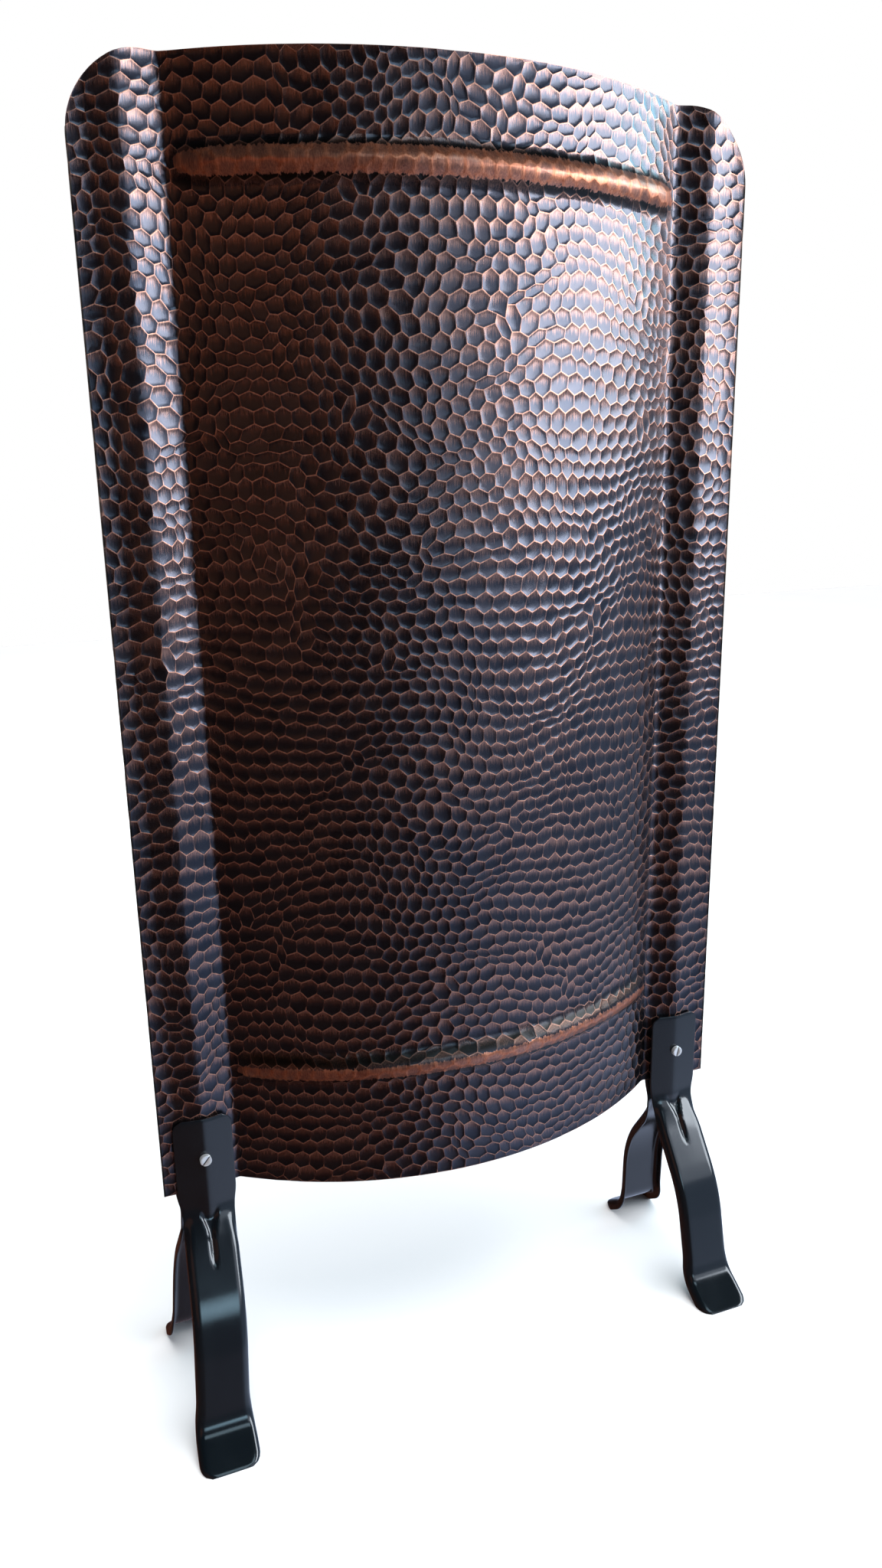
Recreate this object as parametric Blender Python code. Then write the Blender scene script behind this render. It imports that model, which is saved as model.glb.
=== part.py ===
"""Fireplace screen: a bowed, ribbed sheet-metal panel on four pressed legs.

Metres, +Z up.  X is the width, the front faces -Y, and the origin is on the floor under the
middle of the object.  Each leg pair clamps over a rib of the panel with one slotted screw.
"""

import math

import bmesh
import bpy
from mathutils import Matrix, Vector

# Panel
PANEL_WIDTH = 0.465
PANEL_HEIGHT = 0.750
PANEL_BOTTOM = 0.180
SHEET = 0.001
CORNER_RADIUS = 0.050
STRIP_WIDTH = 0.012
CREST_X = 0.2015
CREST_RISE = 0.004
VALLEY_X = 0.176
VALLEY_SINK = 0.0045
BOW_RISE = 0.058
BEAD_HEIGHT = 0.028
BEAD_RISE = 0.006
BEAD_END_X = 0.173
BEAD_TAPER = 0.024
TOP_BEAD_DROP = 0.060
BOTTOM_BEAD_LIFT = 0.0945

# Legs
LEG_SHEET = 0.0015
PLATE_WIDTH = 0.0435
PLATE_TOP = PANEL_BOTTOM + 0.060
PLATE_CORNER = 0.008
FRONT_PLATE_SLOPE = 0.17
REAR_PLATE_SLOPE = 0.36
SHOULDER_Z = PANEL_BOTTOM - 0.018
SHOULDER_BEND = 0.022
KNEE = (0.049, 0.094)
KNEE_BEND = 0.110
ANKLE = (0.059, 0.019)
ANKLE_BEND = 0.018
TOE = (0.0860, 0.0)
NECK_WIDTH = 0.039
NECK_TAPER = 0.020
FOOT_WIDTH = 0.044
FOOT_CORNER = 0.009
FLANGE_DEPTH = 0.009
FLANGE_BEND = 0.005
CHANNEL_START = SHOULDER_Z + 0.004
CHANNEL_RUN = 0.030
FLARE_START = 0.039
FLARE_RUN = 0.030
RIM_TRIM = 0.0012
SPLAY = 0.010
CREASE_ALLOWANCE = 1.2
DART_WIDTH = 0.016
DART_TIP_WIDTH = 0.006
DART_LENGTH = 0.036
DART_DEPTH = 0.003
DART_WALL = 0.0025
PATH_STEP = 0.016

# Fasteners: M5 slotted cheese-head screw, washer and hexagon nut
SCREW_Z = PANEL_BOTTOM + 0.028
THREAD_RADIUS = 0.0024
HOLE_RADIUS = 0.00275
HEAD_RADIUS = 0.00425
HEAD_HEIGHT = 0.0033
HEAD_EDGE = 0.0005
SCREW_LENGTH = 0.016
SLOT_WIDTH = 0.0012
SLOT_DEPTH = 0.0014
SLOT_ANGLE = {"left": math.radians(50), "right": math.radians(78)}
WASHER_RADIUS = 0.005
WASHER_THICKNESS = 0.001
NUT_FLATS = 0.008
NUT_HEIGHT = 0.004

GAP = 0.0003
ROUND_SIDES = 20
SIDES = {"left": -1, "right": 1}

COPPER = ("dark copper patina", (0.060, 0.034, 0.030, 1.0), 0.38, 0.85)
BLACK = ("satin black enamel", (0.012, 0.013, 0.015, 1.0), 0.32, 0.0)
ZINC = ("zinc plated steel", (0.62, 0.63, 0.64, 1.0), 0.30, 1.0)


def clear_scene():
    for item in list(bpy.data.objects):
        bpy.data.objects.remove(item, do_unlink=True)


def material(spec):
    name, colour, roughness, metallic = spec
    made = bpy.data.materials.get(name) or bpy.data.materials.new(name)
    made.use_nodes = True
    shader = made.node_tree.nodes["Principled BSDF"]
    shader.inputs["Base Color"].default_value = colour
    shader.inputs["Roughness"].default_value = roughness
    shader.inputs["Metallic"].default_value = metallic
    return made


def mesh_object(name, bm, spec=None):
    mesh = bpy.data.meshes.new(name)
    bmesh.ops.recalc_face_normals(bm, faces=bm.faces)
    bm.to_mesh(mesh)
    bm.free()
    mesh.shade_smooth()
    mesh.set_sharp_from_angle(angle=math.radians(35))
    made = bpy.data.objects.new(name, mesh)
    bpy.context.collection.objects.link(made)
    if spec:
        mesh.materials.append(material(spec))
    return made


def grid_surface(rows):
    """An open surface through rows of points, all of the same length."""
    bm = bmesh.new()
    made = [[bm.verts.new(point) for point in row] for row in rows]
    for lower, upper in zip(made, made[1:]):
        for a, b, c, d in zip(lower, lower[1:], upper[1:], upper):
            bm.faces.new((a, b, c, d))
    return bm


def thicken(target, thickness):
    solid = target.modifiers.new("sheet", "SOLIDIFY")
    solid.thickness = thickness
    solid.offset = 0
    solid.use_even_offset = True


def cut(target, cutter):
    boolean = target.modifiers.new("cut_" + cutter.name, "BOOLEAN")
    boolean.operation = "DIFFERENCE"
    boolean.object = cutter
    boolean.solver = "EXACT"


def as_cutter(made):
    made.hide_render = True
    made.display_type = "WIRE"
    return made


def smoothstep(t):
    t = min(max(t, 0.0), 1.0)
    return t * t * (3 - 2 * t)


# ---- Panel ---------------------------------------------------------------------------------


def bow_y(x):
    """The circular bow between the two valleys, towards the front."""
    radius = (VALLEY_X ** 2 + BOW_RISE ** 2) / (2 * BOW_RISE)
    return VALLEY_SINK - (math.sqrt(radius ** 2 - x ** 2) - (radius - BOW_RISE))


def section_y(x):
    """The sheet's middle surface at one distance from the centre."""
    x = abs(x)
    strip_x = PANEL_WIDTH / 2 - STRIP_WIDTH
    if x >= strip_x:
        return -SHEET / 2
    if x >= CREST_X:
        return -SHEET / 2 - CREST_RISE * (strip_x - x) / (strip_x - CREST_X)
    if x >= VALLEY_X:
        climb = (x - VALLEY_X) / (CREST_X - VALLEY_X)
        return -SHEET / 2 + VALLEY_SINK - (CREST_RISE + VALLEY_SINK) * climb
    return bow_y(x) - SHEET / 2


def top_edge_z(x):
    """The height of the top edge, which ends in two rounded corners."""
    into_corner = max(abs(x) - (PANEL_WIDTH / 2 - CORNER_RADIUS), 0.0)
    drop = CORNER_RADIUS - math.sqrt(max(CORNER_RADIUS ** 2 - into_corner ** 2, 0.0))
    return PANEL_BOTTOM + PANEL_HEIGHT - drop


def row_height(x, z):
    """Rows above the foot of the top bead close up towards the rounded corners."""
    full_top = PANEL_BOTTOM + PANEL_HEIGHT
    start = full_top - TOP_BEAD_DROP - BEAD_HEIGHT / 2
    above = max(z - start, 0.0) / (full_top - start)
    return z - above * (full_top - top_edge_z(x))


def bead_rise(x, z):
    """How far the two horizontal beads stand out of the bow."""
    along = smoothstep((BEAD_END_X - abs(x)) / BEAD_TAPER)
    centres = (PANEL_BOTTOM + PANEL_HEIGHT - TOP_BEAD_DROP, PANEL_BOTTOM + BOTTOM_BEAD_LIFT)
    across = min(min(abs(z - centre) for centre in centres) / (BEAD_HEIGHT / 2), 1.0)
    return BEAD_RISE * along * (1 + math.cos(math.pi * across)) / 2


def panel_columns():
    """Distances from the centre where the sheet has a line of points, left to right."""
    half = PANEL_WIDTH / 2
    corner = [half - CORNER_RADIUS * (1 - math.sin(math.radians(a))) for a in (35, 58, 68, 78, 90)]
    rib = [VALLEY_X, (VALLEY_X + CREST_X) / 2, CREST_X, (CREST_X + half - STRIP_WIDTH) / 2]
    bow = [VALLEY_X * step / 12 for step in range(1, 12)]
    ends = [BEAD_END_X]
    outward = sorted(bow + ends + rib + [half - STRIP_WIDTH] + corner)
    return [-x for x in reversed(outward)] + [0.0] + outward


def panel_rows():
    """Heights above the floor where the sheet has a line of points, bottom to top."""
    bead_steps = [BEAD_HEIGHT * step / 6 for step in (-3, -2, -1, 0, 1, 2, 3)]
    bottom_bead = PANEL_BOTTOM + BOTTOM_BEAD_LIFT
    top_bead = PANEL_BOTTOM + PANEL_HEIGHT - TOP_BEAD_DROP
    low = [PANEL_BOTTOM, PANEL_BOTTOM + 0.05]
    beads = [centre + step for centre in (bottom_bead, top_bead) for step in bead_steps]
    middle = [bottom_bead + (top_bead - bottom_bead) * step / 4 for step in (1, 2, 3)]
    high = [PANEL_BOTTOM + PANEL_HEIGHT - TOP_BEAD_DROP / 2, PANEL_BOTTOM + PANEL_HEIGHT]
    return sorted(low + beads + middle + high)


def screen_panel():
    """One bowed sheet with a rib down each side and two beads pressed across the bow."""
    rows = []
    for z in panel_rows():
        row = [(x, section_y(x) - bead_rise(x, z), row_height(x, z)) for x in panel_columns()]
        rows.append(row)
    panel = mesh_object("screen_panel", grid_surface(rows), COPPER)
    thicken(panel, SHEET)
    return panel


# ---- Legs ----------------------------------------------------------------------------------


def filleted_path(corners, radii, turn_step=math.radians(15)):
    """Points along straight runs joined by arcs, one radius for each inner corner."""
    points = [Vector(corners[0])]
    for before, corner, after, radius in zip(corners, corners[1:], corners[2:], radii):
        corner = Vector(corner)
        come = (corner - Vector(before)).normalized()
        leave = (Vector(after) - corner).normalized()
        turn = come.angle(leave)
        setback = radius * math.tan(turn / 2)
        side = 1 if come.cross(leave) > 0 else -1
        centre = corner - come * setback + Vector((-come.y, come.x)) * side * radius
        spoke = corner - come * setback - centre
        steps = max(2, math.ceil(turn / turn_step))
        for step in range(steps + 1):
            spoke_now = spoke.copy()
            spoke_now.rotate(Matrix.Rotation(side * turn * step / steps, 2))
            points.append(centre + spoke_now)
    points.append(Vector(corners[-1]))
    return points


def split_long_runs(points, longest):
    """The same path with extra points on its straight runs."""
    made = [points[0]]
    for start, end in zip(points, points[1:]):
        pieces = max(1, math.ceil((end - start).length / longest))
        made += [start.lerp(end, step / pieces) for step in range(1, pieces + 1)]
    return made


def round_end(points, radius):
    """The same path with points closing up over its last run, to round off its end."""
    end = points[-1]
    back = (points[-2] - end).normalized()
    kept = [point for point in points if (point - end).length > 1.2 * radius]
    return kept + [end + back * radius * (1 - math.sin(math.radians(a))) for a in (0, 35, 65, 90)]


def leg_half_width(y, z):
    """Half the leg's width over its flanges: rounded at the plate's top and at the toe."""
    if z > PANEL_BOTTOM:
        into = min(max(z - (PLATE_TOP - PLATE_CORNER), 0.0), PLATE_CORNER)
        round_off = PLATE_CORNER - math.sqrt(max(PLATE_CORNER ** 2 - into ** 2, 0.0))
        return PLATE_WIDTH / 2 - round_off
    neck = PLATE_WIDTH - NECK_WIDTH
    spread = smoothstep((FLARE_START - z) / FLARE_RUN) * (FOOT_WIDTH - NECK_WIDTH)
    into = min(max(y - (TOE[0] - FOOT_CORNER), 0.0), FOOT_CORNER)
    round_off = FOOT_CORNER - math.sqrt(max(FOOT_CORNER ** 2 - into ** 2, 0.0))
    neck *= smoothstep((PANEL_BOTTOM - z) / NECK_TAPER)
    return (PLATE_WIDTH - neck + spread) / 2 - round_off


def leg_across(half_width, channel, slope, depth):
    """Across the leg: (sideways, inward) points, from a creased plate to a channel."""
    bend = FLANGE_BEND
    web = half_width - bend
    plate = [0.0, 0.18, 0.36, 0.55, 0.75, 0.86, 0.94, 1.0]
    trough = [(web * f, 0.0) for f in (0.0, 0.16, 0.34, 0.6, 1.0)]
    for angle in (math.radians(45), math.radians(88)):
        trough.append((web + bend * math.sin(angle), bend * (1 - math.cos(angle))))
    trough.append((half_width, FLANGE_DEPTH))
    trough = [(out, inward * depth / FLANGE_DEPTH) for out, inward in trough]
    points = []
    for f, (out, inward) in zip(plate, trough):
        flat = Vector((half_width * f, half_width * f * slope))
        points.append(flat.lerp(Vector((out, inward)), channel))
    return points


def dart_depth(sideways, z):
    """The stiffening dart pressed in under the shoulder: wide at its top, a groove at its tip."""
    down = (CHANNEL_START - z) / DART_LENGTH
    if down <= 0 or down >= 1:
        return 0.0
    half = (DART_WIDTH + (DART_TIP_WIDTH - DART_WIDTH) * smoothstep(2 * down)) / 2
    ends = smoothstep(4 * down) * smoothstep(4 * (1 - down))
    return DART_DEPTH * (1 - down / 2) * ends * smoothstep((half - abs(sideways)) / DART_WALL)


def leg(name, side, facing, plate_y, slope, floor_trim, hole_cutter):
    """One pressed leg.  facing is -1 for the front legs and +1 for the rear ones."""
    start = plate_y * facing
    corners = [(start, PLATE_TOP), (start, SHOULDER_Z), KNEE, ANKLE, TOE]
    bends = (SHOULDER_BEND, KNEE_BEND, ANKLE_BEND)
    path = filleted_path(corners, bends)
    path = round_end(path[::-1], PLATE_CORNER)[::-1]
    path = round_end(split_long_runs(path, PATH_STEP), FOOT_CORNER)
    rows = []
    for index, point in enumerate(path):
        ahead = path[min(index + 1, len(path) - 1)] - path[max(index - 1, 0)]
        inward = Vector((ahead.y, -ahead.x)).normalized()
        y, z = point
        channel = smoothstep((CHANNEL_START - z) / CHANNEL_RUN)
        to_floor = (z + RIM_TRIM) / max(-inward.y, 0.1)
        depth = min(FLANGE_DEPTH, to_floor)
        half = leg_across(leg_half_width(y, z), channel, slope * -facing, depth)
        lean = side * SPLAY * max(SHOULDER_Z - z, 0.0) / SHOULDER_Z
        row = []
        for sign, share in ((-1, list(reversed(half))), (1, half[1:])):
            for out, sunk in share:
                spot = point + inward * (sunk + dart_depth(out, z))
                row.append((side * CREST_X + lean + sign * out, facing * spot.x, spot.y))
        rows.append(row)
    made = mesh_object(name, grid_surface(rows), BLACK)
    thicken(made, LEG_SHEET)
    cut(made, floor_trim)
    cut(made, hole_cutter)
    return made


def floor_trim():
    """Cuts every foot's rim flat on the floor."""
    bm = bmesh.new()
    bmesh.ops.create_cube(bm, size=1.0, matrix=Matrix.Translation((0, 0, -0.5)))
    return as_cutter(mesh_object("floor_trim", bm))


# ---- Fasteners -----------------------------------------------------------------------------


def turned(name, profile, spec=None, sides=ROUND_SIDES):
    """A solid of revolution about its own Y axis, from (radius, y) points."""
    bm = bmesh.new()
    verts = [bm.verts.new((radius, y, 0.0)) for radius, y in profile]
    edges = [bm.edges.new(pair) for pair in zip(verts, verts[1:])]
    if profile[0][0] > 0:
        edges.append(bm.edges.new((verts[-1], verts[0])))
    bmesh.ops.spin(
        bm, geom=verts + edges, cent=(0, 0, 0), axis=(0, 1, 0), dvec=(0, 0, 0),
        angle=math.tau, steps=sides, use_merge=True)
    bmesh.ops.remove_doubles(bm, verts=bm.verts, dist=1e-6)
    return mesh_object(name, bm, spec)


def clamp_hole_cutter(label, side):
    half = 0.03
    profile = [(0.0, -half), (HOLE_RADIUS, -half), (HOLE_RADIUS, half), (0.0, half)]
    cutter = turned("clamp_hole_" + label, profile)
    cutter.location = (side * CREST_X, 0, SCREW_Z)
    return as_cutter(cutter)


def clamp_screw(label, side, seat_y):
    profile = [
        (0.0, -HEAD_HEIGHT),
        (HEAD_RADIUS - HEAD_EDGE, -HEAD_HEIGHT),
        (HEAD_RADIUS, -HEAD_HEIGHT + HEAD_EDGE),
        (HEAD_RADIUS, 0.0),
        (THREAD_RADIUS, 0.0),
        (THREAD_RADIUS, SCREW_LENGTH - HEAD_EDGE),
        (THREAD_RADIUS - HEAD_EDGE, SCREW_LENGTH),
        (0.0, SCREW_LENGTH),
    ]
    screw = turned("clamp_screw_" + label, profile, ZINC)
    screw.location = (side * CREST_X, seat_y, SCREW_Z)
    bm = bmesh.new()
    size = Matrix.Diagonal((4 * HEAD_RADIUS, 2 * SLOT_DEPTH, SLOT_WIDTH, 1))
    bmesh.ops.create_cube(bm, size=1.0, matrix=size)
    slot = as_cutter(mesh_object("screw_slot_" + label, bm))
    slot.location = (side * CREST_X, seat_y - HEAD_HEIGHT, SCREW_Z)
    slot.rotation_euler = (0, -SLOT_ANGLE[label], 0)
    cut(screw, slot)
    return screw


def clamp_washer(label, side, seat_y):
    inner = HOLE_RADIUS
    profile = [
        (inner, 0.0),
        (WASHER_RADIUS, 0.0),
        (WASHER_RADIUS, WASHER_THICKNESS),
        (inner, WASHER_THICKNESS),
    ]
    washer = turned("clamp_washer_" + label, profile, ZINC)
    washer.location = (side * CREST_X, seat_y, SCREW_Z)
    return washer


def clamp_nut(label, side, seat_y, hole_cutter):
    bm = bmesh.new()
    bmesh.ops.create_cone(
        bm, cap_ends=True, segments=6, radius1=NUT_FLATS / math.sqrt(3),
        radius2=NUT_FLATS / math.sqrt(3), depth=NUT_HEIGHT,
        matrix=Matrix.Rotation(math.radians(90), 4, "X"))
    nut = mesh_object("clamp_nut_" + label, bm, ZINC)
    nut.location = (side * CREST_X, seat_y + NUT_HEIGHT / 2, SCREW_Z)
    cut(nut, hole_cutter)
    return nut


# ---- Assembly ------------------------------------------------------------------------------


def clamp_stack(label, side, panel, trim):
    """Front leg, rib, rear leg, washer and nut on one screw, from front to back."""
    hole = clamp_hole_cutter(label, side)
    cut(panel, hole)
    half_leg = LEG_SHEET * CREASE_ALLOWANCE / 2
    front_plate_y = -CREST_RISE - SHEET - GAP - half_leg
    rear_plate_y = -CREST_RISE + GAP + half_leg
    leg("front_leg_" + label, side, -1, front_plate_y, FRONT_PLATE_SLOPE, trim, hole)
    leg("rear_leg_" + label, side, 1, rear_plate_y, REAR_PLATE_SLOPE, trim, hole)
    clamp_screw(label, side, front_plate_y - half_leg - GAP)
    washer_y = rear_plate_y + half_leg + WASHER_RADIUS * REAR_PLATE_SLOPE + GAP
    clamp_washer(label, side, washer_y)
    clamp_nut(label, side, washer_y + WASHER_THICKNESS + GAP, hole)


clear_scene()
panel_object = screen_panel()
trim_object = floor_trim()
for side_label, side_sign in SIDES.items():
    clamp_stack(side_label, side_sign, panel_object, trim_object)
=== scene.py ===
import math
import random

import bmesh
import bpy
import numpy as np
from mathutils import Matrix, Quaternion, Vector


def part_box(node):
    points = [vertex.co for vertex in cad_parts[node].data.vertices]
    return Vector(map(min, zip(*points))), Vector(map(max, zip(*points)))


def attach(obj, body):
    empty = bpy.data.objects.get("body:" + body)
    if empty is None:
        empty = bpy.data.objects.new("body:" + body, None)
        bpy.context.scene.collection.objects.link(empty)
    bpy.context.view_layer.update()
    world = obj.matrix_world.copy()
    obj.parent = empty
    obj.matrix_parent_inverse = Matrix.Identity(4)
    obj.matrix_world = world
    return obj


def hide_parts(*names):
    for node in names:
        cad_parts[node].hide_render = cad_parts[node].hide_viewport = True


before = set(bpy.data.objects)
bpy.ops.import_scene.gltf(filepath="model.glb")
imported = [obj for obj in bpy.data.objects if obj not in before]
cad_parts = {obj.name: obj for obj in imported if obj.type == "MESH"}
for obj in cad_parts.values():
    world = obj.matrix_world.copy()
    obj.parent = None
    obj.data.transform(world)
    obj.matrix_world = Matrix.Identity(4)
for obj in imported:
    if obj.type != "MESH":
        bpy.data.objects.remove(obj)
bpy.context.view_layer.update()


# ---- Camera and studio ---------------------------------------------------------------------
# The screen stands on a pale floor in a quiet studio.  The bowed metal mirrors a broad softbox
# on its right, smaller ones pick out its edge, its top and the legs, and a warm lamp low on the
# left, a fill from behind and a dim room do the rest.

CAMERA_PLACE = (-0.3139, -0.7694, 0.7063)
CAMERA_TURN = math.radians(21.70)
CAMERA_DIP = math.radians(16.01)
CAMERA_ROLL = math.radians(-0.94)
CAMERA_LENS = 26.85
CAMERA_FILM = 36.0

camera_data = bpy.data.cameras.new("camera")
camera_data.lens = CAMERA_LENS
camera_data.sensor_width = CAMERA_FILM
camera = bpy.data.objects.new("camera", camera_data)
camera.matrix_world = (
    Matrix.Translation(CAMERA_PLACE)
    @ Matrix.Rotation(-CAMERA_TURN, 4, "Z")
    @ Matrix.Rotation(math.pi / 2 - CAMERA_DIP, 4, "X")
    @ Matrix.Rotation(CAMERA_ROLL, 4, "Z"))
bpy.context.collection.objects.link(camera)
bpy.context.scene.camera = camera


class Sock:
    """One shader socket, with arithmetic that adds Math nodes."""

    def __init__(self, kit, socket):
        self.kit = kit
        self.socket = socket

    def _math(self, operation, *others, swap=False):
        values = [self, *others]
        if swap:
            values.reverse()
        return self.kit.node("ShaderNodeMath", {"operation": operation}, dict(enumerate(values)))

    def __add__(self, other):
        return self._math("ADD", other)

    __radd__ = __add__

    def __sub__(self, other):
        return self._math("SUBTRACT", other)

    def __rsub__(self, other):
        return self._math("SUBTRACT", other, swap=True)

    def __mul__(self, other):
        return self._math("MULTIPLY", other)

    __rmul__ = __mul__

    def __pow__(self, other):
        return self._math("POWER", other)

    def at_most(self, other):
        return self._math("MINIMUM", other)

    def at_least(self, other):
        return self._math("MAXIMUM", other)

    def sine(self):
        return self._math("SINE")

    def ramp(self, start, end):
        """0 below start, 1 above end, smooth between."""
        return self.kit.node(
            "ShaderNodeMapRange", {"interpolation_type": "SMOOTHSTEP"},
            {"Value": self, "From Min": start, "From Max": end})


class Finish:
    """A material built node by node, ending in one Principled shader."""

    def __init__(self, name, **fixed):
        self.material = bpy.data.materials.new(name)
        self.material.use_nodes = True
        self.tree = self.material.node_tree
        self.shader = self.tree.nodes["Principled BSDF"]
        for socket, value in fixed.items():
            self.shader.inputs[socket.replace("_", " ")].default_value = value

    def node(self, kind, settings=None, inputs=None, output=0):
        made = self.tree.nodes.new(kind)
        for name, value in (settings or {}).items():
            setattr(made, name, value)
        for name, value in (inputs or {}).items():
            self.feed(made.inputs[name], value)
        return Sock(self, made.outputs[output])

    def feed(self, socket, value):
        if isinstance(value, Sock):
            self.tree.links.new(value.socket, socket)
        else:
            socket.default_value = value

    def set(self, **varying):
        for socket, value in varying.items():
            self.feed(self.shader.inputs[socket.replace("_", " ")], value)

    def place(self, scale=(1, 1, 1)):
        """Object coordinates, scaled along their axes."""
        spot = self.node("ShaderNodeTexCoord", output="Object")
        return self.node("ShaderNodeMapping", {}, {"Vector": spot, "Scale": scale})

    def along(self, axis):
        """One of the object coordinates."""
        return self.node("ShaderNodeSeparateXYZ", {}, {"Vector": self.place()}, output=axis)

    def noise(self, where, scale=1.0, detail=2.0, rough=0.5, distortion=0.0):
        return self.node(
            "ShaderNodeTexNoise", {},
            {"Vector": where, "Scale": scale, "Detail": detail, "Roughness": rough,
             "Distortion": distortion})

    def own(self, name):
        """A value that the piece's own mesh carries."""
        return self.node("ShaderNodeAttribute", {"attribute_name": name}, output="Fac")

    def mix(self, share, first, second):
        """From the first colour to the second."""
        made = self.tree.nodes.new("ShaderNodeMix")
        made.data_type = "RGBA"
        for socket, value in zip((made.inputs[0], made.inputs[6], made.inputs[7]),
                                 (share, first, second)):
            if isinstance(value, tuple):
                value = (*value, 1.0)
            self.feed(socket, value)
        return Sock(self, made.outputs[2])

    def relief(self, height, depth, strength):
        """A fine unevenness, depth metres from its lowest to its highest."""
        return self.node(
            "ShaderNodeBump", {}, {"Height": height, "Distance": depth, "Strength": strength})


FLOOR_SIZE = 8.0
FLOOR_SHADES = (0.88, 0.88, 0.88), (0.93, 0.93, 0.93)


def studio_floor():
    bm = bmesh.new()
    bmesh.ops.create_grid(bm, x_segments=8, y_segments=8, size=FLOOR_SIZE / 2)
    mesh = bpy.data.meshes.new("studio_floor")
    bm.to_mesh(mesh)
    bm.free()
    floor = bpy.data.objects.new("studio_floor", mesh)
    bpy.context.collection.objects.link(floor)
    plaster = Finish("pale_floor", Roughness=0.9)
    cloud = plaster.noise(plaster.place(), scale=3.0, detail=4.0)
    plaster.set(Base_Color=plaster.mix(cloud, *FLOOR_SHADES))
    mesh.materials.append(plaster.material)
    floor.visible_glossy = False


def softbox(
        name, azimuth, elevation, distance, width, height, colour, power, roll=0.0,
        aim=(0.0, 0.0, 0.60), spread=180):
    """A rectangle of light.  Azimuth 0 is straight in front of the screen, 90 its right; roll
    lifts the end further round, and a small spread is a grid that keeps its light narrow."""
    turn, lift = math.radians(azimuth), math.radians(elevation)
    way = Vector((
        math.sin(turn) * math.cos(lift), -math.cos(turn) * math.cos(lift), math.sin(lift)))
    light = bpy.data.lights.new(name, "AREA")
    light.shape = "RECTANGLE"
    light.size = width
    light.size_y = height
    light.color = colour
    light.energy = power
    light.spread = math.radians(spread)
    lamp = bpy.data.objects.new(name, light)
    lamp.location = Vector(aim) + way * distance
    turned_in = way.to_track_quat("Z", "Y") @ Quaternion((0, 0, 1), math.radians(roll))
    lamp.rotation_euler = turned_in.to_euler()
    bpy.context.collection.objects.link(lamp)


# The room is dark and warm on the left.  Each tint has an axis, where along it the tint starts
# and is full, how it joins the colour before it, and its own colour.
ROOM_COLOUR = (0.040, 0.015, 0.009, 1)
ROOM_TINTS = (
    ("X", -0.06, 0.52, "MIX", (0.27, 0.35, 0.50, 1)),
    ("Z", -0.34, -0.58, "MULTIPLY", (2.3, 2.1, 2.05, 1)),
    ("Z", 0.40, 0.75, "MULTIPLY", (0.10, 0.08, 0.06, 1)))
PAPER_COLOUR = (1, 1, 1, 1)


def studio_world():
    """White paper behind the screen; round it the room, cool and paler on the right, paler
    towards its floor and darkest overhead."""
    world = bpy.data.worlds.new("studio_world")
    world.use_nodes = True
    tree = world.node_tree
    new, link = tree.nodes.new, tree.links.new
    way = new("ShaderNodeTexCoord")
    split = new("ShaderNodeSeparateXYZ")
    link(way.outputs["Generated"], split.inputs[0])
    colour = None
    for axis, start, end, blend, tint in ROOM_TINTS:
        share = new("ShaderNodeMapRange")
        share.interpolation_type = "SMOOTHSTEP"
        share.inputs["From Min"].default_value = start
        share.inputs["From Max"].default_value = end
        link(split.outputs[axis], share.inputs["Value"])
        tinted = new("ShaderNodeMix")
        tinted.data_type = "RGBA"
        tinted.blend_type = blend
        tinted.inputs[6].default_value = ROOM_COLOUR
        tinted.inputs[7].default_value = tint
        link(share.outputs["Result"], tinted.inputs[0])
        if colour:
            link(colour, tinted.inputs[6])
        colour = tinted.outputs[2]
    room = tree.nodes["Background"]
    paper = new("ShaderNodeBackground")
    paper.inputs["Color"].default_value = PAPER_COLOUR
    path = new("ShaderNodeLightPath")
    seen = new("ShaderNodeMixShader")
    link(colour, room.inputs["Color"])
    link(path.outputs["Is Camera Ray"], seen.inputs[0])
    link(room.outputs[0], seen.inputs[1])
    link(paper.outputs[0], seen.inputs[2])
    link(seen.outputs[0], tree.nodes["World Output"].inputs["Surface"])
    bpy.context.scene.world = world
    bpy.context.scene.view_settings.view_transform = "Standard"


CEILING_POWER = 3.5
CEILING_WIDTH = math.radians(50)
CEILING_TILT = math.radians(12), math.radians(8), 0


def ceiling_glow():
    """Even light from above for the floor and for every paint's own colour; no mirror image."""
    light = bpy.data.lights.new("ceiling_glow", "SUN")
    light.energy = CEILING_POWER
    light.angle = CEILING_WIDTH
    lamp = bpy.data.objects.new("ceiling_glow", light)
    lamp.rotation_euler = CEILING_TILT
    lamp.visible_glossy = False
    bpy.context.collection.objects.link(lamp)


studio_floor()
studio_world()
softbox(
    "window_right", azimuth=62, elevation=14, distance=2.4, width=2.1, height=1.0,
    colour=(0.84, 0.92, 1.0), power=51, roll=13)
softbox(
    "window_edge", azimuth=98, elevation=24, distance=2.4, width=0.7, height=0.9,
    colour=(0.45, 0.85, 1.0), power=12)
softbox(
    "room_front", azimuth=26, elevation=11, distance=2.6, width=1.3, height=1.2,
    colour=(0.80, 0.88, 1.0), power=4.8)
softbox(
    "roof_window", azimuth=15, elevation=40, distance=2.6, width=1.4, height=0.7,
    colour=(0.60, 0.84, 1.0), power=7)
softbox(
    "low_grid", azimuth=9, elevation=14, distance=2.4, width=0.8, height=0.7,
    colour=(0.50, 0.80, 1.0), power=0.14, aim=(-0.20, -0.05, 0.11), spread=24)
softbox(
    "lamp_left", azimuth=-42, elevation=8, distance=2.6, width=1.8, height=1.3,
    colour=(1.0, 0.38, 0.16), power=1.3)
softbox(
    "rear_fill", azimuth=200, elevation=25, distance=3.0, width=2.0, height=2.0,
    colour=(0.95, 0.97, 1.0), power=30)
ceiling_glow()


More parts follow.
